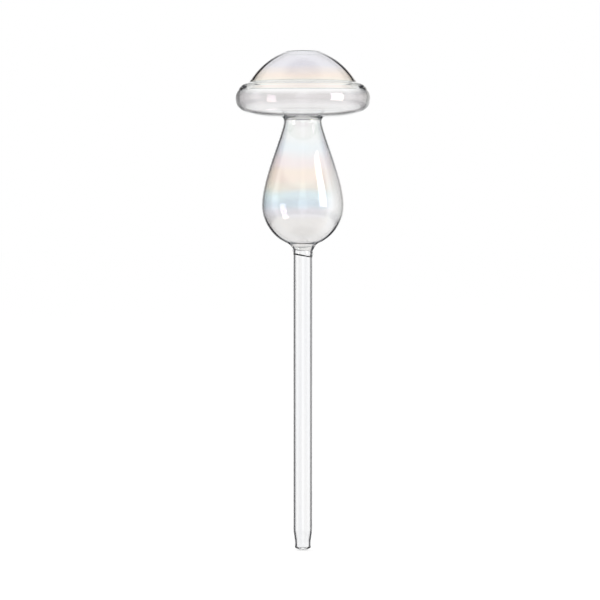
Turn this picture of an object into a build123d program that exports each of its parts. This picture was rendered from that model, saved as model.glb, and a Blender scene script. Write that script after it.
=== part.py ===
from build123d import *
import os
from math import acos, asin, atan2, cos, pi, radians, sin, sqrt, tan

# Mushroom-shaped watering globe of blown glass, in millimetres.
# The globe is a body of revolution about Z. The tip's end is at the origin and the cap is on top.

# Feed tube, from straight glass tubing
TUBE_DIAMETER = 10.0
TUBE_WALL = 1.0
TUBE_LENGTH = 144.3

# Drip tip, drawn down from the tube's end
TIP_DIAMETER = 8.4
TIP_WALL = 1.0
TIP_SHOULDER_HEIGHT = 5.0
TIP_LAND_HEIGHT = 3.7
TIP_CONE_HEIGHT = 1.3
DRIP_HOLE_DIAMETER = 2.0
DRIP_LIP_WIDTH = 0.4

# Bead where the tube and the bulb's outlet are fused
TUBE_WELD_HEIGHT = 2.4
TUBE_WELD_BULGE = 0.35

# Outlet that brings the bulb down to the tube
OUTLET_HEIGHT = 3.1
OUTLET_TOP_DIAMETER = 14.2
OUTLET_MOUTH_DIAMETER = 10.8

# Pear-shaped reservoir bulb
BULB_DIAMETER = 42.6
BULB_WALL = 1.0
BULB_BASE_BORE = 0.8
WAIST_DIAMETER = 19.8
WAIST_RISE = 43.6
BELLY_REACH = 14.0
NECK_REACH = 5.5

# Flame-sealed fillet between the bulb's neck and the cap
NECK_WELD_LEG = 1.7
NECK_WELD_HOLLOW = 0.25
WAIST_TO_WELD = 0.6

# Outside of the brim, the cap's lower shell
CAP_DIAMETER = 70.0
CAP_HOLE_DIAMETER = 9.5
SEAT_DIAMETER = 28.0
UNDERSIDE_RADIUS = 50.0
RIM_RADIUS = 7.0
SHOULDER_RISE = 1.3
LEDGE_WIDTH = 4.0
LEDGE_DROP = 1.2

# Inside of the brim, whose wall is thick at the rim and thin at the floor
CAP_WALL = 1.2
FLOOR_WALL = 0.8
RIM_WALL = 1.8
INNER_UNDERSIDE_RADIUS = 45.0
INNER_RIM_RADIUS = 6.8
CORNER_WIDTH = 1.8
CORNER_DEPTH = 0.6

# Dome: the cap's upper shell, set back from the brim's edge
DOME_SETBACK = 7.0
DOME_HEIGHT = 16.6
CROWN_RADIUS = 90.0
CROWN_DIAMETER = 16.0
KNEE_RADIUS = 5.0
FLANK_SLOPE = 21.0

# Radii that several pieces share
tube_radius = TUBE_DIAMETER / 2
bore_radius = tube_radius - TUBE_WALL
outlet_radius = OUTLET_TOP_DIAMETER / 2
mouth_radius = OUTLET_MOUTH_DIAMETER / 2
base_bore_radius = bore_radius + (mouth_radius - bore_radius) * OUTLET_HEIGHT / (OUTLET_HEIGHT + BULB_BASE_BORE)
bulb_radius = BULB_DIAMETER / 2
waist_radius = WAIST_DIAMETER / 2
cap_radius = CAP_DIAMETER / 2
dome_radius = cap_radius - DOME_SETBACK
ledge_radius = dome_radius + LEDGE_WIDTH

# Heights where one piece meets the next, from the tip up
tube_bottom = TIP_CONE_HEIGHT + TIP_LAND_HEIGHT + TIP_SHOULDER_HEIGHT
tube_top = tube_bottom + TUBE_LENGTH
outlet_bottom = tube_top + TUBE_WELD_HEIGHT
outlet_top = outlet_bottom + OUTLET_HEIGHT
equator = outlet_top + sqrt(bulb_radius**2 - outlet_radius**2)
waist = equator + WAIST_RISE
cap_floor = waist + WAIST_TO_WELD + NECK_WELD_LEG


def lathe(*profile):
    """Turn a closed profile, drawn as radius and height, about Z."""
    return revolve(Plane.XZ * make_face(profile), Axis.Z)


def arc_about(centre, start, end):
    """The shorter arc from start to end about centre."""
    centre, start, end = Vector(*centre), Vector(*start), Vector(*end)
    middle = (start - centre).normalized() + (end - centre).normalized()
    return ThreePointArc(start, centre + middle.normalized() * (start - centre).length, end)


def upright_arc(start, end):
    """An arc that is vertical at start and passes through end."""
    step, rise = end[0] - start[0], end[1] - start[1]
    radius = (step**2 + rise**2) / (2 * step)
    return arc_about((start[0] + radius, start[1]), start, end)


def polar(centre, radius, angle):
    """The point at an angle from horizontal on a circle about centre."""
    return (centre[0] + radius * cos(angle), centre[1] + radius * sin(angle))


def drip_tip():
    tip_radius = TIP_DIAMETER / 2
    land_bore = tip_radius - TIP_WALL
    hole_radius = DRIP_HOLE_DIAMETER / 2
    lip_radius = hole_radius + DRIP_LIP_WIDTH
    land_top = TIP_CONE_HEIGHT + TIP_LAND_HEIGHT
    slope = atan2(TIP_CONE_HEIGHT, tip_radius - lip_radius)

    def inner_cone(radius):
        return (radius, (radius - lip_radius) * tan(slope) + TIP_WALL / cos(slope))

    return lathe(
        Polyline(
            (hole_radius, 0),
            (lip_radius, 0),
            (tip_radius, TIP_CONE_HEIGHT),
            (tip_radius, land_top),
            (tube_radius, tube_bottom),
            (bore_radius, tube_bottom),
            (land_bore, land_top),
            inner_cone(land_bore),
            inner_cone(hole_radius),
            close=True,
        )
    )


def feed_tube():
    outside = (tube_radius, tube_bottom), (tube_radius, tube_top)
    inside = (bore_radius, tube_top), (bore_radius, tube_bottom)
    return lathe(Polyline(*outside, *inside, close=True))


def tube_weld():
    foot, top = (tube_radius, tube_top), (tube_radius, outlet_bottom)
    crest = (tube_radius + TUBE_WELD_BULGE, (tube_top + outlet_bottom) / 2)
    return lathe(
        ThreePointArc(foot, crest, top),
        Polyline(top, (bore_radius, outlet_bottom), (bore_radius, tube_top), foot),
    )


def bulb_outlet():
    outside = (tube_radius, outlet_bottom), (outlet_radius, outlet_top)
    inside = (base_bore_radius, outlet_top), (bore_radius, outlet_bottom)
    return lathe(Polyline(*outside, *inside, close=True))


def shoulder_curve(belly_radius, neck_radius):
    """The bulb's curve from its equator up to its waist, upright at both ends."""
    return Bezier(
        (belly_radius, equator),
        (belly_radius, equator + BELLY_REACH),
        (neck_radius, waist - NECK_REACH),
        (neck_radius, waist),
    )


def reservoir_bulb():
    belly_bore = bulb_radius - BULB_WALL
    neck_bore = waist_radius - BULB_WALL
    base, base_bore = (outlet_radius, outlet_top), (base_bore_radius, outlet_top)
    floor_edge = (mouth_radius, outlet_top + BULB_BASE_BORE)
    return lathe(
        upright_arc((bulb_radius, equator), base),
        shoulder_curve(bulb_radius, waist_radius),
        Polyline(
            (waist_radius, waist),
            (waist_radius, cap_floor),
            (neck_bore, cap_floor),
            (neck_bore, waist),
        ),
        shoulder_curve(belly_bore, neck_bore),
        upright_arc((belly_bore, equator), floor_edge),
        Polyline(floor_edge, base_bore, base),
    )


def neck_weld():
    corner = (waist_radius, cap_floor)
    on_neck = (waist_radius, cap_floor - NECK_WELD_LEG)
    on_cap = (waist_radius + NECK_WELD_LEG, cap_floor)
    inset = NECK_WELD_LEG / 2 - NECK_WELD_HOLLOW / sqrt(2)
    hollow = (waist_radius + inset, cap_floor - inset)
    return lathe(ThreePointArc(on_neck, hollow, on_cap), Polyline(on_cap, corner, on_neck))


def rim_centre(outer_radius, rim_radius, bowl, underside_radius):
    """Centre of a rim's round that runs smoothly into the underside's curve about bowl."""
    radius = outer_radius - rim_radius
    reach = underside_radius - rim_radius
    return (radius, bowl[1] - sqrt(reach**2 - (radius - bowl[0]) ** 2))


def tangent_point(centre, radius, outside):
    """Where a line from a point outside a circle touches the circle's outer side."""
    step, rise = outside[0] - centre[0], outside[1] - centre[1]
    angle = atan2(rise, step) - acos(radius / sqrt(step**2 + rise**2))
    return polar(centre, radius, angle)


def brim_curves(outer_radius, rim_radius, bowl, underside_radius, corner):
    """Underside, rim and shoulder of one face of the brim, from the seat to the ledge's corner."""
    centre = rim_centre(outer_radius, rim_radius, bowl, underside_radius)
    rim_start = polar(centre, rim_radius, atan2(centre[1] - bowl[1], centre[0] - bowl[0]))
    rim_end = tangent_point(centre, rim_radius, corner)
    seat_edge = (bowl[0], bowl[1] - underside_radius)
    return [
        arc_about(bowl, seat_edge, rim_start),
        arc_about(centre, rim_start, rim_end),
        Line(rim_end, corner),
    ]


# The ledge stands a little above the rim's round, and the dome stands on the ledge
bowl = (SEAT_DIAMETER / 2, cap_floor + UNDERSIDE_RADIUS)
ledge = rim_centre(cap_radius, RIM_RADIUS, bowl, UNDERSIDE_RADIUS)[1] + RIM_RADIUS + SHOULDER_RISE
crest = ledge + DOME_HEIGHT

# The dome's crown runs through a knee into its flank, and the flank ends on the ledge
crown_angle = asin(CROWN_DIAMETER / 2 / CROWN_RADIUS)
crown_centre = (0, crest - CROWN_RADIUS)
knee_centre = polar(crown_centre, CROWN_RADIUS - KNEE_RADIUS, pi / 2 - crown_angle)
flank_angle = radians(FLANK_SLOPE)
flank_start = polar(knee_centre, KNEE_RADIUS, pi / 2 - flank_angle)
foot_step, foot_rise = dome_radius - flank_start[0], ledge - flank_start[1]
foot_depth = -foot_step * sin(flank_angle) - foot_rise * cos(flank_angle)
flank_radius = (foot_step**2 + foot_rise**2) / (2 * foot_depth)
flank_centre = polar(knee_centre, KNEE_RADIUS - flank_radius, pi / 2 - flank_angle)
dome_bore = flank_centre[0] + sqrt((flank_radius - CAP_WALL) ** 2 - (ledge - flank_centre[1]) ** 2)


def cap_brim():
    hole_radius = CAP_HOLE_DIAMETER / 2
    seat_radius = SEAT_DIAMETER / 2
    floor_top = cap_floor + FLOOR_WALL
    inner_bowl = (seat_radius, floor_top + INNER_UNDERSIDE_RADIUS)
    corner = (ledge_radius, ledge - LEDGE_DROP)
    inner_corner = (ledge_radius - CORNER_WIDTH, ledge - LEDGE_DROP - CORNER_DEPTH)
    outside = brim_curves(cap_radius, RIM_RADIUS, bowl, UNDERSIDE_RADIUS, corner)
    inside = brim_curves(
        cap_radius - RIM_WALL, INNER_RIM_RADIUS, inner_bowl, INNER_UNDERSIDE_RADIUS, inner_corner
    )
    opening = Polyline(
        corner,
        (dome_radius, ledge),
        (dome_bore, ledge),
        (dome_bore, ledge - CAP_WALL),
        inner_corner,
    )
    floor = Polyline(
        (seat_radius, floor_top),
        (hole_radius, floor_top),
        (hole_radius, cap_floor),
        (seat_radius, cap_floor),
    )
    return lathe(*outside, opening, *inside, floor)


def dome_curves(inset, foot):
    """Crown, knee and flank of one face of the dome, inset from the outside."""
    top = (0, crest - inset)
    crown_edge = polar(knee_centre, KNEE_RADIUS - inset, pi / 2 - crown_angle)
    knee_end = polar(knee_centre, KNEE_RADIUS - inset, pi / 2 - flank_angle)
    return [
        arc_about(crown_centre, top, crown_edge),
        arc_about(knee_centre, crown_edge, knee_end),
        arc_about(flank_centre, knee_end, foot),
    ]


def cap_dome():
    foot, inner_foot = (dome_radius, ledge), (dome_bore, ledge)
    axis = Line((0, crest - CAP_WALL), (0, crest))
    return lathe(*dome_curves(0, foot), Line(foot, inner_foot), *dome_curves(CAP_WALL, inner_foot), axis)


PIECES = [drip_tip, feed_tube, tube_weld, bulb_outlet, reservoir_bulb, neck_weld, cap_brim, cap_dome]

os.makedirs("parts", exist_ok=True)
for piece in PIECES:
    export_step(piece(), f"parts/{piece.__name__}.step")
print(f"cap floor {cap_floor:.2f}, ledge {ledge:.2f}, crest {crest:.2f}, dome bore {dome_bore:.2f}")
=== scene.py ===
from math import acos, asin, atan2, cos, pi, radians, sin, sqrt

import bmesh
import bpy
from bpy.props import FloatProperty, FloatVectorProperty, IntProperty, PointerProperty
from bpy.types import NodeSocket, Operator, Panel, PropertyGroup
from mathutils import Matrix, Vector, noise


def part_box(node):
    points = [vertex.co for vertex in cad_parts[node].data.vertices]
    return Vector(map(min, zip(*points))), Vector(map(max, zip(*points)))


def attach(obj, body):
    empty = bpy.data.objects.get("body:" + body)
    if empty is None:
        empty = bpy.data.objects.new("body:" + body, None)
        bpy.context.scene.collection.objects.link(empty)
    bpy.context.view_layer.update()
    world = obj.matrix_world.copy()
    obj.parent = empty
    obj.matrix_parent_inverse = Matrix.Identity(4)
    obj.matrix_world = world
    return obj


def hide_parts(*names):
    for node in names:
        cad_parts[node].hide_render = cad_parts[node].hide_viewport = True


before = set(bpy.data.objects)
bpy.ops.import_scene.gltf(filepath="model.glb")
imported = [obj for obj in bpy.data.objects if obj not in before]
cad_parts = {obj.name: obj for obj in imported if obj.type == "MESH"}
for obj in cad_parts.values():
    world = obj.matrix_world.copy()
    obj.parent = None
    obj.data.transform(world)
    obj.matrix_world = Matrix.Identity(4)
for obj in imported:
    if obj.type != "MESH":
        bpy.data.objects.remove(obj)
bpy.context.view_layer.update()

bl_info = {
    "name": "Mushroom Watering Globe",
    "version": (1, 0, 0),
    "blender": (4, 5, 0),
    "location": "3D View > Sidebar > Globe",
    "description": "Builds a blown glass watering globe around its packed model",
    "category": "Object",
}

MM = 0.001

SHARP = radians(28.0)  # edges that bend more than this stay sharp
GLASS_IOR = 1.46
FINE_EDGE = 0.12 * MM  # rounding of the finest edges
SWAY_SCALES = (60.0, 150.0)  # broad and fine unevenness of blown glass
STIFF_RADIUS = 12.0 * MM  # narrower glass is drawn, and sways less
LEAN_DEPTH = 9.0 * MM  # how far down the tube the crooked joint is felt
SEAL_ARC = (0.6, 0.12)  # where the neck's seal ends, as shares of its leg
PAINTED_LIGHT_SIDE = (0.3, 0.85)  # where the bulb's colour fades to white towards +X, as shares of its radius: a painted lighter side where the right-hand strip box and lamp stand

# Faces that the light passes when the outer face mirrors it, and when the back wall's inside does
OUTER_MIRROR, INNER_MIRROR = 0.0, 4.0

# Where the parts of the mirrored room fade out and in, as the upward part of a ray's direction
PANEL_SLIMS = (0.14, 0.3)
FLAG_HAZE = (0.2, 0.08)
PANEL_FOOT = (-0.22, -0.12)
SKY = (0.38, 0.5)
TABLE = (-0.4, -0.46)
POLES = (0.97, 0.85)
FRONT_BELT = (0.32, 0.16)
FRONT_POLES = (0.4, 0.7)
WINDOW_TOP = (0.9, 0.75)
# The same for the sideways part
RIGHT_SIDE = (-0.3, 0.3)

FLOOR_RADIUS = 6.0
LAMP_SIZE = (0.5, 0.8)
LAMP_HEIGHT = 0.9


def span(node):
    """Lowest height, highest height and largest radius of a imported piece."""
    low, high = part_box(node)
    return low.z, high.z, high.x


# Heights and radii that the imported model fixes, from the tip up
TIP_END, TUBE_FOOT, TUBE_RADIUS = span("drip_tip")
TUBE_TOP = span("feed_tube")[1]
BEAD_TOP, BEAD_RADIUS = span("tube_weld")[1:]
OUTLET_TOP, OUTLET_RADIUS = span("bulb_outlet")[1:]
BULB_RADIUS = span("reservoir_bulb")[2]
SEAL_FOOT, CAP_FLOOR, SEAL_RADIUS = span("neck_weld")
LEDGE, CAP_RADIUS = span("cap_brim")[1:]
CREST, DOME_RADIUS = span("cap_dome")[1:]


class GlobeSizes(PropertyGroup):
    """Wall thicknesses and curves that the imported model's boxes don't give."""

    tube_wall: FloatProperty(
        name="Tube wall", description="Wall of the feed tube", default=1.0 * MM, unit="LENGTH"
    )
    tip_radius: FloatProperty(
        name="Tip radius", description="Outer radius of the drawn tip",
        default=4.2 * MM, unit="LENGTH",
    )
    tip_shoulder: FloatProperty(
        name="Tip shoulder", description="Height over which the tube narrows to the tip",
        default=5.0 * MM, unit="LENGTH",
    )
    tip_cone: FloatProperty(
        name="Tip cone", description="Height of the cone at the tip's end",
        default=1.3 * MM, unit="LENGTH",
    )
    drip_hole: FloatProperty(
        name="Drip hole", description="Radius of the hole that lets the water out",
        default=1.0 * MM, unit="LENGTH",
    )
    drip_lip: FloatProperty(
        name="Drip lip", description="Width of the flat lip around the hole",
        default=0.4 * MM, unit="LENGTH",
    )
    bulb_wall: FloatProperty(
        name="Bulb wall", description="Wall of the reservoir bulb", default=1.0 * MM, unit="LENGTH"
    )
    waist_radius: FloatProperty(
        name="Waist radius", description="Outer radius of the bulb's neck",
        default=9.9 * MM, unit="LENGTH",
    )
    waist_drop: FloatProperty(
        name="Waist drop", description="Distance from the cap's floor down to the waist",
        default=2.3 * MM, unit="LENGTH",
    )
    belly_reach: FloatProperty(
        name="Belly reach", description="How far up the belly keeps its fullness",
        default=14.0 * MM, unit="LENGTH",
    )
    outlet_floor: FloatProperty(
        name="Outlet floor", description="Thickness of the bulb's floor around its outlet",
        default=0.8 * MM, unit="LENGTH",
    )
    outlet_mouth: FloatProperty(
        name="Outlet mouth", description="Radius of the outlet's bore where it opens into the bulb",
        default=5.4 * MM, unit="LENGTH",
    )
    neck_reach: FloatProperty(
        name="Neck reach", description="How far down the neck stays slim",
        default=5.5 * MM, unit="LENGTH",
    )
    cap_wall: FloatProperty(
        name="Cap wall", description="Wall of the dome and of the brim",
        default=1.2 * MM, unit="LENGTH",
    )
    floor_wall: FloatProperty(
        name="Floor wall", description="Wall of the cap's floor and underside",
        default=0.8 * MM, unit="LENGTH",
    )
    ledge_fill: FloatVectorProperty(
        name="Ledge fill", description="Glass left behind the ledge's corner, inwards and downwards",
        default=(1.8 * MM, 0.6 * MM), size=2, unit="LENGTH",
    )
    rim_wall: FloatProperty(
        name="Rim wall", description="Wall at the brim's outer edge",
        default=1.8 * MM, unit="LENGTH",
    )
    rim_radius: FloatProperty(
        name="Rim round", description="Radius of the brim's rounded edge",
        default=7.0 * MM, unit="LENGTH",
    )
    inner_rim: FloatProperty(
        name="Inner rim", description="Radius of the rounded edge on the brim's inside",
        default=6.8 * MM, unit="LENGTH",
    )
    cap_hole: FloatProperty(
        name="Cap hole", description="Radius of the hole in the cap's floor",
        default=4.75 * MM, unit="LENGTH",
    )
    seat_radius: FloatProperty(
        name="Seat radius", description="Radius of the flat part of the cap's floor",
        default=14.0 * MM, unit="LENGTH",
    )
    underside_radius: FloatProperty(
        name="Underside curve", description="Radius of the brim's curved underside",
        default=50.0 * MM, unit="LENGTH",
    )
    inner_underside: FloatProperty(
        name="Inner underside", description="Radius of the underside's curve on the brim's inside",
        default=45.0 * MM, unit="LENGTH",
    )
    ledge_width: FloatProperty(
        name="Ledge width", description="Width of the step that the dome stands on",
        default=4.0 * MM, unit="LENGTH",
    )
    ledge_drop: FloatProperty(
        name="Ledge drop", description="How far the step falls from the dome to its outer corner",
        default=1.2 * MM, unit="LENGTH",
    )
    crown_radius: FloatProperty(
        name="Crown curve", description="Radius of the dome's flat crown",
        default=90.0 * MM, unit="LENGTH",
    )
    crown_reach: FloatProperty(
        name="Crown reach", description="Radius out to which the crown is flat",
        default=8.0 * MM, unit="LENGTH",
    )
    knee_radius: FloatProperty(
        name="Knee", description="Radius of the bend between crown and flank",
        default=5.0 * MM, unit="LENGTH",
    )
    flank_slope: FloatProperty(
        name="Flank slope", description="Slope at which the dome's flank leaves the knee",
        default=radians(21.0), subtype="ANGLE",
    )
    joint_slope: FloatProperty(
        name="Joint slope", description="How far the seam under the bead drops through the wall",
        default=0.7 * MM, unit="LENGTH",
    )
    bead_slope: FloatProperty(
        name="Bead slope", description="How far the seam over the bead drops through the wall",
        default=0.15 * MM, unit="LENGTH",
    )
    seam: FloatProperty(
        name="Seam", description="Hairline left open where two sections are fused",
        default=0.02 * MM, unit="LENGTH",
    )
    sway: FloatProperty(
        name="Sway", description="Depth of the uneven surface of hand-blown glass",
        default=0.09 * MM, unit="LENGTH",
    )
    bead_tilt: FloatProperty(
        name="Bead tilt", description="Slope of the crooked joint between tube and outlet",
        default=radians(11.0), subtype="ANGLE",
    )
    facets: IntProperty(name="Facets", description="Steps of one full turn", default=160, min=32)


class GlobeColours(PropertyGroup):
    """Tints that the light takes on in one wall of the glass."""

    clear: FloatVectorProperty(
        name="Clear", description="Clear glass of tube and tip",
        default=(0.985, 0.99, 1.0), subtype="COLOR",
    )
    pearl: FloatVectorProperty(
        name="Pearl", description="Near white of the neck",
        default=(0.98, 0.985, 0.985), subtype="COLOR",
    )
    haze: FloatVectorProperty(
        name="Haze", description="Cold white under the neck",
        default=(0.952, 0.975, 0.988), subtype="COLOR",
    )
    rose: FloatVectorProperty(
        name="Rose", description="Pink band", default=(0.982, 0.937, 0.93), subtype="COLOR"
    )
    apricot: FloatVectorProperty(
        name="Apricot", description="Orange band", default=(0.995, 0.938, 0.885), subtype="COLOR"
    )
    straw: FloatVectorProperty(
        name="Straw", description="Yellow band", default=(0.99, 0.967, 0.915), subtype="COLOR"
    )
    aqua: FloatVectorProperty(
        name="Aqua", description="Blue-green band", default=(0.915, 0.985, 1.0), subtype="COLOR"
    )
    sky: FloatVectorProperty(
        name="Sky", description="Blue band", default=(0.845, 0.905, 0.945), subtype="COLOR"
    )
    lilac: FloatVectorProperty(
        name="Lilac", description="Violet grey", default=(0.925, 0.92, 0.948), subtype="COLOR"
    )
    # Painted shade: a grey that darkens the bulb's bottom, standing in for the shade there
    painted_bottom_shade: FloatVectorProperty(
        name="Ash", description="Grey of the bulb's bottom",
        default=(0.915, 0.905, 0.898), subtype="COLOR",
    )
    # Painted shade: the brim's grey band is shade painted into the colour, with a faint violet film tint
    brim_film_and_shade: FloatVectorProperty(
        name="Smoke", description="Violet grey of the brim",
        default=(0.9, 0.887, 0.893), subtype="COLOR",
    )
    # Painted shade: the dark line in the crease at the ledge, painted as a grey green, partly a green
    # film tint
    crease_film_and_shade: FloatVectorProperty(
        name="Sage", description="Grey green of the ledge",
        default=(0.925, 0.945, 0.915), subtype="COLOR",
    )
    milk: FloatVectorProperty(
        name="Milk", description="Clear glass between the brim's band and the ledge's",
        default=(1.0, 1.0, 1.0), subtype="COLOR",
    )


class GlobeStage(PropertyGroup):
    """Room that the glass mirrors, strip boxes, floor, lamps and camera."""

    backdrop: FloatVectorProperty(
        name="Backdrop", description="Colour behind the globe",
        default=(1.0, 1.0, 1.0), subtype="COLOR",
    )
    studio: FloatVectorProperty(
        name="Flags", description="Dark flags that the glass mirrors", default=(0.02, 0.019, 0.024),
        subtype="COLOR",
    )
    room_level: FloatProperty(
        name="Room level", description="Brightness of the room between the flags", default=0.8
    )
    panel_width: FloatProperty(
        name="Panel width", description="Half the angle of the bright middle of a panel",
        default=radians(10.0), subtype="ANGLE",
    )
    panel_fade: FloatProperty(
        name="Panel fade", description="Half the angle at which a panel's light has faded out",
        default=radians(18.0), subtype="ANGLE",
    )
    panel_slim: FloatProperty(
        name="Panel slim", description="How much slimmer a panel is above than at the horizon",
        default=radians(5.0), subtype="ANGLE",
    )
    haze_start: FloatProperty(
        name="Haze start", description="Half the angle out to which the flags are grey at the horizon",
        default=radians(28.0), subtype="ANGLE",
    )
    haze_end: FloatProperty(
        name="Haze end", description="Half the angle at which that grey has faded out",
        default=radians(35.0), subtype="ANGLE",
    )
    flag_glow: FloatProperty(
        name="Flag glow", description="Brightness of the flags at the horizon", default=0.3
    )
    front_glow: FloatProperty(
        name="Front glow", description="Least brightness of what the outer face mirrors", default=0.35
    )
    right_glow: FloatProperty(
        name="Right glow", description="How much brighter the outer face mirrors the right-hand side",
        default=0.65,
    )
    strip_glow: FloatProperty(
        name="Strip glow", description="Brightness of the strip boxes as the glass mirrors them",
        default=9.0,
    )
    back_turn: FloatProperty(
        name="Back turn", description="How far round the lamp behind stands",
        default=radians(235.0), subtype="ANGLE",
    )
    strip_turn: FloatProperty(
        name="Strip turn", description="How far round the strip box for the outer face stands",
        default=radians(55.0), subtype="ANGLE",
    )
    inner_turn: FloatProperty(
        name="Inner turn", description="How far round the strip box for the back wall stands",
        default=radians(67.0), subtype="ANGLE",
    )
    strip_reach: FloatProperty(
        name="Strip reach", description="Distance of the strip boxes from the globe's axis",
        default=150.0 * MM, unit="LENGTH",
    )
    strip_width: FloatProperty(
        name="Strip width", description="Width of a strip box", default=61.0 * MM, unit="LENGTH"
    )
    strip_foot: FloatProperty(
        name="Strip foot", description="Height of a strip box's lower end",
        default=172.0 * MM, unit="LENGTH",
    )
    strip_top: FloatProperty(
        name="Strip top", description="Height of a strip box's upper end",
        default=300.0 * MM, unit="LENGTH",
    )
    floor_glow: FloatProperty(
        name="Floor glow", description="Share of the floor's white that no shadow takes away",
        default=0.8, subtype="FACTOR",
    )
    lamp_power: FloatProperty(
        name="Lamp power", description="Power of each strip lamp", default=7.0, unit="POWER"
    )
    lens: FloatProperty(name="Lens", description="Focal length", default=150.0, subtype="DISTANCE_CAMERA")
    distance: FloatProperty(
        name="Distance", description="Camera's distance from the globe's axis",
        default=1.3, unit="LENGTH",
    )
    elevation: FloatProperty(
        name="Elevation", description="Angle at which the camera looks down", default=radians(2.5),
        subtype="ANGLE",
    )
    aim: FloatVectorProperty(
        name="Aim", description="Point in the middle of the picture",
        default=(-1.5 * MM, 0.0, 130.7 * MM), subtype="XYZ", unit="LENGTH",
    )


def arc(centre, radius, start, end, steps):
    """Points of an arc about centre, from one angle to another, both ends included."""
    turns = [start + (end - start) * i / steps for i in range(steps + 1)]
    return [(centre[0] + radius * cos(a), centre[1] + radius * sin(a)) for a in turns]


def angle_of(centre, point):
    return atan2(point[1] - centre[1], point[0] - centre[0])


def upright_arc(start, end, steps):
    """Points of an arc that is vertical at start and passes through end."""
    step, rise = end[0] - start[0], end[1] - start[1]
    radius = (step**2 + rise**2) / (2 * step)
    centre = (start[0] + radius, start[1])
    first = pi if radius > 0 else 0.0
    last = angle_of(centre, end)
    if first == pi and last < 0:
        last += 2 * pi
    return arc(centre, abs(radius), first, last, steps)


def bezier(a, b, c, d, steps):
    """Points of a cubic curve with ends a and d."""
    points = []
    for i in range(steps + 1):
        t = i / steps
        s = 1 - t
        weights = (s**3, 3 * s * s * t, 3 * s * t * t, t**3)
        points.append(tuple(sum(w * p[k] for w, p in zip(weights, (a, b, c, d))) for k in (0, 1)))
    return points


def rungs(start, end, steps):
    """Evenly spaced points of a straight line, both ends included."""
    return [tuple(s + (e - s) * i / steps for s, e in zip(start, end)) for i in range(steps + 1)]


def turned(outline, facets, closed=True):
    """Spin an outline, drawn as radius and height, about Z into a closed mesh."""
    shape = bmesh.new()
    verts = [shape.verts.new((radius, 0.0, height)) for radius, height in outline]
    ends = verts[1:] + verts[:1] if closed else verts[1:]
    edges = [shape.edges.new(pair) for pair in zip(verts, ends)]
    bmesh.ops.spin(
        shape, geom=verts + edges, cent=(0, 0, 0), axis=(0, 0, 1), angle=2 * pi,
        steps=facets, use_merge=True, use_duplicate=False,
    )
    bmesh.ops.remove_doubles(shape, verts=shape.verts, dist=0.0005 * MM)
    bmesh.ops.recalc_face_normals(shape, faces=shape.faces)
    return shape


def eased(outline, corner, reach, steps=8, closed=True):
    """Replace a corner of an outline by a smooth curve that starts and ends a given distance from it."""
    spot = min(range(len(outline)), key=lambda i: (Vector(outline[i]) - Vector(corner)).length)
    corner = Vector(outline[spot])
    if closed:
        middle = len(outline) // 2
        shift = (spot - middle) % len(outline)
        outline, spot = outline[shift:] + outline[:shift], middle

    def cut(step):
        """Walk from the corner, and return the first point kept and the curve's end."""
        here, left, index = corner, reach, spot
        while True:
            index += step
            ahead = Vector(outline[index])
            if (ahead - here).length > left:
                return index, here + (ahead - here).normalized() * left
            left -= (ahead - here).length
            here = ahead

    before, first = cut(-1)
    after, last = cut(1)
    curve = []
    for i in range(steps + 1):
        t = i / steps
        curve.append(tuple(first * (1 - t) ** 2 + corner * 2 * t * (1 - t) + last * t * t))
    return outline[: before + 1] + curve + outline[after:]


def blown(shape, sizes):
    """Sink the surface a little by a smooth noise, and lean the crooked joint above the tube."""
    for vert in shape.verts:
        out = Vector((vert.co.x, vert.co.y, 0.0))
        reach = out.length
        broad = noise.noise(vert.co * SWAY_SCALES[0])
        fine = noise.noise(vert.co * SWAY_SCALES[1] + Vector((3.0, 0.0, 0.0)))
        depth = sizes.sway * min(1.0, reach / STIFF_RADIUS) * (0.5 + 0.35 * broad + 0.15 * fine)
        lean = lean_at(vert.co.z, vert.co.x, sizes)
        if reach > 0:
            vert.co -= out / reach * depth
        vert.co.z += lean


def lean_at(height, x, sizes):
    """How much the crooked joint lifts or drops a point of the tube's top."""
    below, above = LEAN_DEPTH, OUTLET_TOP - TUBE_TOP
    offset = height - TUBE_TOP
    if offset <= -below or offset >= above:
        return 0.0
    share = 1 + offset / below if offset < 0 else 1 - offset / above
    share = share * share * (3 - 2 * share)
    return -x * sin(sizes.bead_tilt) * share


def finished(name, nodes, shape, glass):
    """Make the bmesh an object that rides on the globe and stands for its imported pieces."""
    for face in shape.faces:
        face.smooth = True
    for edge in shape.edges:
        edge.smooth = edge.calc_face_angle(0.0) < SHARP
    mesh = bpy.data.meshes.new(name)
    shape.to_mesh(mesh)
    shape.free()
    mesh.materials.append(glass)
    piece = bpy.data.objects.new(name, mesh)
    bpy.context.scene.collection.objects.link(piece)
    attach(piece, "root")
    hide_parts(*nodes)
    return piece


def new_node(tree, kind, inputs=None, **settings):
    """Add a shader node, set its options, and set or link its inputs."""
    made = tree.nodes.new(kind)
    for key, value in settings.items():
        setattr(made, key, value)
    for key, value in (inputs or {}).items():
        if isinstance(value, NodeSocket):
            tree.links.new(value, made.inputs[key])
        else:
            made.inputs[key].default_value = value
    return made


def maths(tree, operation, first, second=0.0, third=0.0):
    """A Math node's result."""
    inputs = {0: first, 1: second, 2: third}
    return new_node(tree, "ShaderNodeMath", inputs, operation=operation).outputs[0]


def product(tree, first, *others):
    """All the values multiplied together."""
    for other in others:
        first = maths(tree, "MULTIPLY", first, other)
    return first


def fade(tree, value, none, full):
    """0 where the value is none, 1 where it is full, with a smooth change between."""
    inputs = {"Value": value, "From Min": none, "From Max": full}
    return new_node(tree, "ShaderNodeMapRange", inputs, interpolation_type="SMOOTHSTEP").outputs[0]


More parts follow.
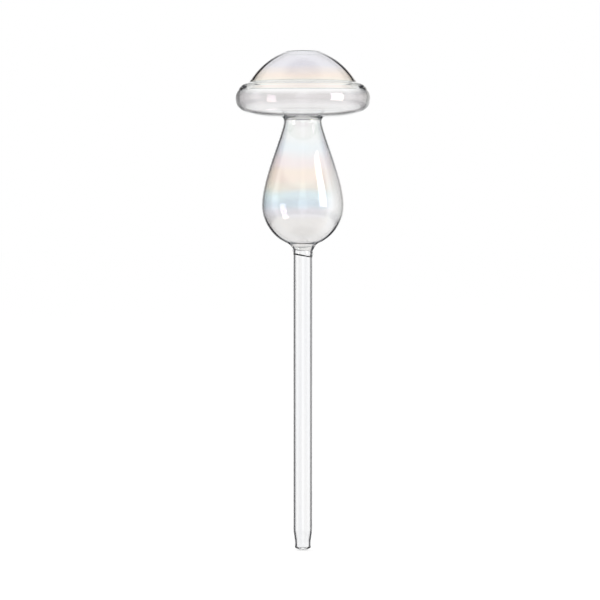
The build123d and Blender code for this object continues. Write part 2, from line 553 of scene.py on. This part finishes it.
def banded(tree, level, bands):
    """A ramp of colours, each with its place from 0 to 1."""
    ramp = new_node(tree, "ShaderNodeValToRGB", {"Fac": level})
    ramp.color_ramp.interpolation = "EASE"
    stops = ramp.color_ramp.elements
    while len(stops) < len(bands):
        stops.new(0.5)
    for stop, (place, colour) in zip(stops, bands):
        stop.position = place
        stop.color = (*colour, 1.0)
    return ramp.outputs["Color"]


def blank_material(name):
    material = bpy.data.materials.new(name)
    material.use_nodes = True
    material.node_tree.nodes.clear()
    return material, material.node_tree


def lustre_glass(name, low, high, bands, film, drift=0.05, lit_side=None):
    """Clear glass under a thin film whose pale colours change with height, from low to high.

    Where the side's two places along X are given, the colours fade to white from the first to the second:
    a painted lighter side.
    """
    glass, tree = blank_material(name)
    place = new_node(tree, "ShaderNodeTexCoord").outputs["Object"]
    parts = new_node(tree, "ShaderNodeSeparateXYZ", {"Vector": place})
    level = new_node(
        tree, "ShaderNodeMapRange",
        {"Value": parts.outputs["Z"], "From Min": low, "From Max": high},
    ).outputs[0]
    clouds = new_node(
        tree, "ShaderNodeTexNoise", {"Vector": place, "Scale": 45.0, "Detail": 2.0, "Roughness": 0.45}
    ).outputs["Fac"]
    shift = maths(tree, "MULTIPLY_ADD", clouds, 2 * drift, -drift)
    level = maths(tree, "ADD", level, shift)
    tint = banded(tree, level, bands)
    if lit_side:
        # Painted light: the tint fades to white towards +X, the side where the right-hand strip box and
        # lamp stand
        lit_fade = fade(tree, parts.outputs["X"], *lit_side)
        tint = new_node(
            tree, "ShaderNodeMix", {"Factor": lit_fade, "A": tint, "B": (1.0, 1.0, 1.0, 1.0)},
            data_type="RGBA",
        ).outputs["Result"]
    thickness = new_node(
        tree, "ShaderNodeMapRange",
        {"Value": level, "From Min": 0.0, "From Max": 1.0, "To Min": film[0], "To Max": film[1]},
    ).outputs[0]
    smears = new_node(
        tree, "ShaderNodeTexNoise", {"Vector": place, "Scale": 120.0, "Detail": 3.0}
    ).outputs["Fac"]
    rough = new_node(
        tree, "ShaderNodeMapRange",
        {"Value": smears, "From Min": 0.45, "From Max": 0.75, "To Min": 0.0, "To Max": 0.02},
    ).outputs[0]
    waves = new_node(
        tree, "ShaderNodeTexNoise", {"Vector": place, "Scale": 90.0, "Detail": 1.0}
    ).outputs["Fac"]
    bump = new_node(
        tree, "ShaderNodeBump", {"Height": waves, "Strength": 0.3, "Distance": 0.05 * MM}
    ).outputs["Normal"]
    surface = new_node(
        tree, "ShaderNodeBsdfPrincipled",
        {
            "Base Color": tint, "Roughness": rough, "IOR": GLASS_IOR, "Transmission Weight": 1.0,
            "Thin Film Thickness": thickness, "Thin Film IOR": 1.5, "Normal": bump,
        },
    )
    new_node(tree, "ShaderNodeOutputMaterial", {"Surface": surface.outputs[0]})
    return glass


def drawn_glass(name, colours):
    """Fire-polished clear glass with faint draw lines along the tube."""
    glass, tree = blank_material(name)
    place = new_node(tree, "ShaderNodeTexCoord").outputs["Object"]
    drawn = new_node(tree, "ShaderNodeMapping", {"Vector": place, "Scale": (1.0, 1.0, 0.06)}).outputs[0]
    lines = new_node(
        tree, "ShaderNodeTexNoise", {"Vector": drawn, "Scale": 220.0, "Detail": 2.0}
    ).outputs["Fac"]
    tint = banded(tree, lines, [(0.3, colours.clear), (0.7, (1.0, 1.0, 1.0))])
    rough = new_node(
        tree, "ShaderNodeMapRange",
        {"Value": lines, "From Min": 0.45, "From Max": 0.8, "To Min": 0.0, "To Max": 0.02},
    ).outputs[0]
    bump = new_node(
        tree, "ShaderNodeBump", {"Height": lines, "Strength": 0.2, "Distance": 0.03 * MM}
    ).outputs["Normal"]
    surface = new_node(
        tree, "ShaderNodeBsdfPrincipled",
        {
            "Base Color": tint, "Roughness": rough, "IOR": GLASS_IOR, "Transmission Weight": 1.0,
            "Normal": bump,
        },
    )
    new_node(tree, "ShaderNodeOutputMaterial", {"Surface": surface.outputs[0]})
    return glass


class GLOBE_OT_tube(Operator):
    """Draw the straight feed tube and its tip with the drip hole"""

    bl_idname = "globe.tube"
    bl_label = "Feed tube and tip"

    def execute(self, context):
        sizes, colours = context.scene.globe_sizes, context.scene.globe_colours
        bore = TUBE_RADIUS - sizes.tube_wall
        land_bore = sizes.tip_radius - sizes.tube_wall
        top, land_top = TUBE_TOP - sizes.seam, TUBE_FOOT - sizes.tip_shoulder
        lip = sizes.drip_hole + sizes.drip_lip
        cone = TIP_END + sizes.tip_cone
        slope = sizes.tip_cone / (sizes.tip_radius - lip)
        lift = sizes.tube_wall * sqrt(1 + slope**2)
        inner_cone = cone - (sizes.tip_radius - land_bore) * slope + lift
        inner_lip = TIP_END - sizes.drip_lip * slope + lift
        hole_foot, lip_edge = (sizes.drip_hole, TIP_END), (lip, TIP_END)
        cone_edge, shoulder = (sizes.tip_radius, cone), (sizes.tip_radius, land_top)
        inner_shoulder, inner_edge = (land_bore, land_top), (land_bore, inner_cone)
        hole_top = (sizes.drip_hole, inner_lip)
        outside = rungs((TUBE_RADIUS, TUBE_FOOT), (TUBE_RADIUS, top), 48)
        inside = rungs((bore, top - sizes.joint_slope), (bore, TUBE_FOOT), 48)
        outline = [*rungs(hole_top, hole_foot, 2), lip_edge, cone_edge, shoulder, *outside]
        outline += [*inside, inner_shoulder, inner_edge]
        for corner, reach in (
            (shoulder, 1.2 * MM), (inner_shoulder, 1.2 * MM), (outside[0], 1.2 * MM),
            (inside[-1], 1.2 * MM), (cone_edge, 0.7 * MM), (inner_edge, 0.5 * MM),
            (lip_edge, 0.25 * MM), (hole_foot, FINE_EDGE), (outside[-1], FINE_EDGE),
        ):
            outline = eased(outline, corner, reach)
        shape = turned(outline, sizes.facets)
        blown(shape, sizes)
        glass = drawn_glass("drawn_glass", colours)
        finished("glass_tube", ("feed_tube", "drip_tip"), shape, glass)
        return {"FINISHED"}


class GLOBE_OT_bead(Operator):
    """Make the crooked bead where the tube is fused on"""

    bl_idname = "globe.bead"
    bl_label = "Fused bead"

    def execute(self, context):
        sizes, colours = context.scene.globe_sizes, context.scene.globe_colours
        bore = TUBE_RADIUS - sizes.tube_wall
        top = BEAD_TOP - sizes.seam
        half, bulge = (top - TUBE_TOP) / 2, BEAD_RADIUS - TUBE_RADIUS
        round_radius = (half**2 + bulge**2) / (2 * bulge)
        centre = (BEAD_RADIUS - round_radius, TUBE_TOP + half)
        reach = asin(half / round_radius)
        outside = arc(centre, round_radius, -reach, reach, 10)
        inside = rungs((bore, top - sizes.bead_slope), (bore, TUBE_TOP - sizes.joint_slope), 12)
        outline = outside + inside
        for corner in (outside[0], outside[-1]):
            outline = eased(outline, corner, FINE_EDGE, 5)
        shape = turned(outline, sizes.facets)
        blown(shape, sizes)
        glass = drawn_glass("bead_glass", colours)
        finished("weld_bead", ("tube_weld",), shape, glass)
        return {"FINISHED"}


class GLOBE_OT_bulb(Operator):
    """Blow the pear-shaped reservoir bulb with its outlet"""

    bl_idname = "globe.bulb"
    bl_label = "Reservoir bulb"

    def execute(self, context):
        sizes, colours = context.scene.globe_sizes, context.scene.globe_colours
        waist = CAP_FLOOR - sizes.waist_drop
        equator = OUTLET_TOP + sqrt(BULB_RADIUS**2 - OUTLET_RADIUS**2)
        wall = sizes.bulb_wall
        bore = TUBE_RADIUS - sizes.tube_wall
        floor_edge = (sizes.outlet_mouth, OUTLET_TOP + sizes.outlet_floor)

        def shoulder(inset):
            return bezier(
                (BULB_RADIUS - inset, equator),
                (BULB_RADIUS - inset, equator + sizes.belly_reach),
                (sizes.waist_radius - inset, waist - sizes.neck_reach),
                (sizes.waist_radius - inset, waist),
                44,
            )

        flare = rungs((TUBE_RADIUS, BEAD_TOP), (OUTLET_RADIUS, OUTLET_TOP), 12)
        base = upright_arc((BULB_RADIUS, equator), (OUTLET_RADIUS, OUTLET_TOP), 36)
        bowl = upright_arc((BULB_RADIUS - wall, equator), floor_edge, 36)
        passage = rungs(floor_edge, (bore, BEAD_TOP - sizes.bead_slope), 12)
        outline = [*flare, *base[-2::-1], *shoulder(0.0)[1:]]
        outline += [*shoulder(wall)[::-1], *bowl[1:], *passage[1:]]
        outline = eased(outline, (OUTLET_RADIUS, OUTLET_TOP), 1.2 * MM)
        outline = eased(outline, floor_edge, 0.9 * MM)
        outline = eased(outline, flare[0], FINE_EDGE, 5)
        shape = turned(outline, sizes.facets)
        blown(shape, sizes)
        # The lowest two stops are a painted shade grey; the others are pale film colours
        bands = [
            (0.10, colours.painted_bottom_shade), (0.22, colours.painted_bottom_shade), (0.285, colours.lilac), (0.345, colours.sky),
            (0.405, colours.aqua), (0.46, colours.straw), (0.525, colours.apricot),
            (0.58, colours.apricot), (0.65, colours.rose), (0.77, colours.haze), (0.87, colours.pearl),
        ]
        lit_side = [BULB_RADIUS * share for share in PAINTED_LIGHT_SIDE]
        glass = lustre_glass("bulb_lustre", BEAD_TOP, CAP_FLOOR, bands, (260.0, 620.0), lit_side=lit_side)
        finished("glass_bulb", ("reservoir_bulb", "bulb_outlet"), shape, glass)
        return {"FINISHED"}


def brim_side(sizes, outer, rim, underside, seat, corner):
    """Underside, rim and shoulder of one face of the brim, from the seat to the ledge's corner."""
    bowl = (sizes.seat_radius, seat + underside)
    radius = outer - rim
    drop = sqrt((underside - rim) ** 2 - (radius - sizes.seat_radius) ** 2)
    centre = (radius, bowl[1] - drop)
    start = angle_of(bowl, centre)
    away = Vector(corner) - Vector(centre)
    end = angle_of(centre, corner) - acos(rim / away.length)
    floor = arc(bowl, underside, -pi / 2, start, 24)
    edge = arc(centre, rim, start, end, 30)
    return floor + edge[1:] + rungs(edge[-1], corner, 3)[1:]


def dome_side(sizes, inset):
    """Flank, knee and crown of one face of the dome, from its foot on the ledge to the axis."""
    tilt = asin(sizes.crown_reach / sizes.crown_radius)
    steep = Vector((sin(sizes.flank_slope), cos(sizes.flank_slope)))
    crown = Vector((0.0, CREST - sizes.crown_radius))
    knee = crown + Vector((sin(tilt), cos(tilt))) * (sizes.crown_radius - sizes.knee_radius)
    chord = Vector((DOME_RADIUS, LEDGE)) - knee - steep * sizes.knee_radius
    radius = chord.length_squared / (-2 * chord.dot(steep))
    flank = knee + steep * (sizes.knee_radius - radius)
    foot = asin((LEDGE - inset - flank.y) / (radius - inset))
    side = arc(flank, radius - inset, foot, pi / 2 - sizes.flank_slope, 40)
    bend = arc(knee, sizes.knee_radius - inset, pi / 2 - sizes.flank_slope, pi / 2 - tilt, 6)
    top = arc(crown, sizes.crown_radius - inset, pi / 2 - tilt, pi / 2, 10)
    return side + bend[1:] + top[1:-1] + [(0.0, CREST - inset)]


class GLOBE_OT_cap(Operator):
    """Blow the hollow cap: the seal round the neck, floor, rounded brim, ledge and dome"""

    bl_idname = "globe.cap"
    bl_label = "Mushroom cap"

    def execute(self, context):
        sizes, colours = context.scene.globe_sizes, context.scene.globe_colours
        wall = sizes.cap_wall
        corner = (DOME_RADIUS + sizes.ledge_width, LEDGE - sizes.ledge_drop)
        inner_corner = (corner[0] - sizes.ledge_fill[0], corner[1] - sizes.ledge_fill[1])
        brim = brim_side(sizes, CAP_RADIUS, sizes.rim_radius, sizes.underside_radius, CAP_FLOOR, corner)
        lining = brim_side(
            sizes, CAP_RADIUS - sizes.rim_wall, sizes.inner_rim, sizes.inner_underside,
            CAP_FLOOR + sizes.floor_wall, inner_corner,
        )
        dome, vault = dome_side(sizes, 0.0), dome_side(sizes, wall)
        hole, hole_top = (sizes.cap_hole, CAP_FLOOR), (sizes.cap_hole, CAP_FLOOR + sizes.floor_wall)
        waist = CAP_FLOOR - sizes.waist_drop + sizes.seam
        throat = (sizes.waist_radius - sizes.bulb_wall, CAP_FLOOR)
        leg = CAP_FLOOR - SEAL_FOOT
        seal_end = (sizes.waist_radius + leg * SEAL_ARC[0], CAP_FLOOR - leg * SEAL_ARC[1])
        outline = vault[::-1] + lining[::-1]
        outline += rungs(lining[0], hole_top, 4)[1:] + rungs(hole, throat, 3)
        outline += rungs((throat[0], waist), (sizes.waist_radius, waist), 1)
        outline += upright_arc((sizes.waist_radius, SEAL_FOOT), seal_end, 8)
        outline += [(SEAL_RADIUS, CAP_FLOOR)] + brim + dome
        for place, reach in (
            (corner, 1.8 * MM), (dome[0], 1.4 * MM), (inner_corner, 1.0 * MM), (vault[0], 2.5 * MM),
            (hole, 0.3 * MM), (hole_top, 0.3 * MM), (throat, 1.0 * MM),
        ):
            outline = eased(outline, place, reach, closed=False)
        shape = turned(outline, sizes.facets, closed=False)
        blown(shape, sizes)
        # The brim's stops are a painted shade grey with a violet tint, and the ledge's stop a painted
        # shade grey green; the others are pale film colours
        bands = [
            (0.0, colours.pearl), (0.13, colours.pearl), (0.22, colours.brim_film_and_shade), (0.31, colours.brim_film_and_shade),
            (0.36, colours.milk), (0.44, colours.milk), (0.495, colours.crease_film_and_shade), (0.53, colours.straw),
            (0.585, colours.apricot), (0.66, colours.apricot), (0.76, colours.lilac),
            (0.95, colours.lilac), (1.0, colours.haze),
        ]
        glass = lustre_glass("cap_lustre", CAP_FLOOR, CREST, bands, (300.0, 520.0), 0.02)
        finished("glass_cap", ("cap_dome", "cap_brim", "neck_weld"), shape, glass)
        return {"FINISHED"}


def seen_through(tree):
    """1 for what shows straight through the glass and 0 for what it mirrors, with the ray's path."""
    path = new_node(tree, "ShaderNodeLightPath").outputs
    unmirrored = maths(tree, "LESS_THAN", path["Glossy Depth"], 0.5)
    return maths(tree, "MULTIPLY", path["Is Transmission Ray"], unmirrored), path


class GLOBE_OT_stage(Operator):
    """Set up the room, the pale floor, the strip boxes, the lamps and the camera"""

    bl_idname = "globe.stage"
    bl_label = "Stage"

    def execute(self, context):
        stage = context.scene.globe_stage
        self.add_backdrop(context.scene, stage)
        self.add_floor(context.scene, stage)
        self.add_strips(context.scene, stage)
        self.add_lamps(context.scene, stage)
        self.add_camera(context.scene, stage)
        context.scene.view_settings.view_transform = "Standard"
        context.scene.cycles.caustics_reflective = False
        context.scene.cycles.caustics_refractive = False
        return {"FINISHED"}

    def add_backdrop(self, scene, stage):
        world = bpy.data.worlds.new("backdrop")
        world.use_nodes = True
        scene.world = world
        tree = world.node_tree
        tree.nodes.clear()
        through, path = seen_through(tree)
        way = new_node(tree, "ShaderNodeTexCoord").outputs["Generated"]
        x, y, z = new_node(tree, "ShaderNodeSeparateXYZ", {"Vector": way}).outputs
        turn = maths(tree, "PINGPONG", maths(tree, "ARCTAN2", x, y), pi / 4)
        tall = maths(tree, "ABSOLUTE", z)
        slim = maths(tree, "MULTIPLY_ADD", fade(tree, z, *PANEL_SLIMS), stage.panel_slim, turn)
        panel = fade(tree, slim, stage.panel_fade, stage.panel_width)
        haze = fade(tree, turn, stage.haze_end, stage.haze_start)
        haze = product(tree, fade(tree, tall, *FLAG_HAZE), haze)
        around = maths(tree, "MAXIMUM", panel, product(tree, haze, stage.flag_glow))
        around = product(tree, around, fade(tree, z, *PANEL_FOOT))
        sky = product(tree, fade(tree, z, *SKY), stage.room_level)
        table = product(tree, fade(tree, z, *TABLE), stage.room_level)
        level = maths(tree, "MAXIMUM", around, maths(tree, "MAXIMUM", sky, table))
        level = product(tree, level, fade(tree, tall, *POLES))
        right = fade(tree, x, *RIGHT_SIDE)
        side = maths(tree, "MULTIPLY_ADD", right, stage.right_glow, stage.front_glow)
        mirrored = product(tree, fade(tree, tall, *FRONT_BELT), side)
        mirrored = maths(tree, "MAXIMUM", mirrored, fade(tree, tall, *FRONT_POLES))
        outside = product(tree, maths(tree, "LESS_THAN", path["Transmission Depth"], 0.5), mirrored)
        level = maths(tree, "MAXIMUM", level, outside)
        window = product(tree, through, fade(tree, z, *WINDOW_TOP))
        share = maths(tree, "MAXIMUM", path["Is Camera Ray"], path["Is Diffuse Ray"])
        share = maths(tree, "MAXIMUM", share, maths(tree, "MAXIMUM", level, window))
        room = new_node(
            tree, "ShaderNodeMix",
            {"Factor": share, "A": (*stage.studio, 1.0), "B": (*stage.backdrop, 1.0)},
            data_type="RGBA",
        ).outputs["Result"]
        light = new_node(tree, "ShaderNodeBackground", {"Color": room, "Strength": 1.0})
        new_node(tree, "ShaderNodeOutputWorld", {"Surface": light.outputs[0]})

    def add_floor(self, scene, stage):
        shape = bmesh.new()
        bmesh.ops.create_circle(shape, cap_ends=True, segments=96, radius=FLOOR_RADIUS)
        mesh = bpy.data.meshes.new("pale_floor")
        shape.to_mesh(mesh)
        shape.free()
        floor = bpy.data.objects.new("pale_floor", mesh)
        scene.collection.objects.link(floor)
        material, tree = blank_material("pale_floor")
        direct = new_node(tree, "ShaderNodeLightPath").outputs["Is Camera Ray"]
        white = (*stage.backdrop, 1.0)
        matt = new_node(tree, "ShaderNodeBsdfDiffuse", {"Color": white}).outputs[0]
        glow = new_node(tree, "ShaderNodeEmission", {"Color": white, "Strength": 1.0}).outputs[0]
        bright = new_node(tree, "ShaderNodeMixShader", {0: stage.floor_glow, 1: matt, 2: glow}).outputs[0]
        open_air = new_node(tree, "ShaderNodeBsdfTransparent").outputs[0]
        seen = new_node(tree, "ShaderNodeMixShader", {0: direct, 1: open_air, 2: bright}).outputs[0]
        new_node(tree, "ShaderNodeOutputMaterial", {"Surface": seen})
        mesh.materials.append(material)

    def add_strips(self, scene, stage):
        """A strip box that the outer face mirrors, and one that the back wall's inside mirrors."""
        self.add_strip(scene, stage, "strip_outer", stage.strip_turn, OUTER_MIRROR)
        self.add_strip(scene, stage, "strip_inner", stage.inner_turn, INNER_MIRROR)

    def add_strip(self, scene, stage, name, turn, faces):
        """A strip box that shows only in single reflections whose light passes that many faces."""
        material, tree = blank_material(name)
        path = new_node(tree, "ShaderNodeLightPath").outputs
        passed = maths(tree, "COMPARE", path["Transmission Depth"], faces, 0.5)
        once = maths(tree, "COMPARE", path["Glossy Depth"], 1.0, 0.5)
        mirrored = product(tree, passed, once)
        glow = new_node(tree, "ShaderNodeEmission", {"Strength": stage.strip_glow}).outputs[0]
        open_air = new_node(tree, "ShaderNodeBsdfTransparent").outputs[0]
        seen = new_node(tree, "ShaderNodeMixShader", {0: mirrored, 1: open_air, 2: glow}).outputs[0]
        new_node(tree, "ShaderNodeOutputMaterial", {"Surface": seen})
        material.cycles.emission_sampling = "NONE"
        reach, height = stage.strip_reach, stage.strip_top - stage.strip_foot
        shape = bmesh.new()
        bmesh.ops.create_grid(shape, x_segments=1, y_segments=1, size=0.5)
        bmesh.ops.scale(shape, vec=(stage.strip_width, height, 1.0), verts=shape.verts)
        upright = Matrix.Rotation(turn, 4, "Z") @ Matrix.Rotation(pi / 2, 4, "X")
        centre = (sin(turn) * reach, -cos(turn) * reach, stage.strip_foot + height / 2)
        bmesh.ops.transform(shape, matrix=Matrix.Translation(centre) @ upright, verts=shape.verts)
        mesh = bpy.data.meshes.new(name)
        shape.to_mesh(mesh)
        shape.free()
        mesh.materials.append(material)
        strip = bpy.data.objects.new(name, mesh)
        scene.collection.objects.link(strip)

    def add_lamps(self, scene, stage):
        for name, turn in (("lamp_right", stage.strip_turn), ("lamp_behind", stage.back_turn)):
            light = bpy.data.lights.new(name, "AREA")
            light.shape = "RECTANGLE"
            light.size, light.size_y = LAMP_SIZE
            light.energy = stage.lamp_power
            lamp = bpy.data.objects.new(name, light)
            lamp.location = (sin(turn), -cos(turn), LAMP_HEIGHT)
            lamp.rotation_mode = "QUATERNION"
            lamp.rotation_quaternion = (-lamp.location).to_track_quat("-Z", "Y")
            lamp.visible_camera = False
            lamp.visible_glossy = False
            lamp.visible_transmission = False
            scene.collection.objects.link(lamp)

    def add_camera(self, scene, stage):
        data = bpy.data.cameras.new("camera")
        data.lens = stage.lens
        data.sensor_width = 36.0
        camera = bpy.data.objects.new("camera", data)
        back = Vector((0.0, -cos(stage.elevation), sin(stage.elevation)))
        camera.location = Vector(stage.aim) + back * stage.distance
        camera.rotation_mode = "QUATERNION"
        camera.rotation_quaternion = (-back).to_track_quat("-Z", "Y")
        scene.collection.objects.link(camera)
        scene.camera = camera


class GLOBE_PT_panel(Panel):
    """Lists the globe's sizes, colours and pieces"""

    bl_idname = "GLOBE_PT_panel"
    bl_label = "Watering globe"
    bl_space_type = "VIEW_3D"
    bl_region_type = "UI"
    bl_category = "Globe"

    def draw(self, context):
        for group in GROUPS:
            column = self.layout.column(heading=group.bl_rna.name)
            for key in group.__annotations__:
                column.prop(getattr(context.scene, GROUPS[group]), key)
        for operator in OPERATORS:
            self.layout.operator(operator.bl_idname)


GROUPS = {GlobeSizes: "globe_sizes", GlobeColours: "globe_colours", GlobeStage: "globe_stage"}
OPERATORS = (GLOBE_OT_tube, GLOBE_OT_bead, GLOBE_OT_bulb, GLOBE_OT_cap, GLOBE_OT_stage)


def register():
    for kind in (*GROUPS, *OPERATORS, GLOBE_PT_panel):
        bpy.utils.register_class(kind)
    for group, name in GROUPS.items():
        setattr(bpy.types.Scene, name, PointerProperty(type=group))


def unregister():
    for name in GROUPS.values():
        delattr(bpy.types.Scene, name)
    for kind in reversed((*GROUPS, *OPERATORS, GLOBE_PT_panel)):
        bpy.utils.unregister_class(kind)


def main():
    register()
    bpy.ops.globe.tube()
    bpy.ops.globe.bead()
    bpy.ops.globe.bulb()
    bpy.ops.globe.cap()
    bpy.ops.globe.stage()


if __name__ == "__main__":
    main()
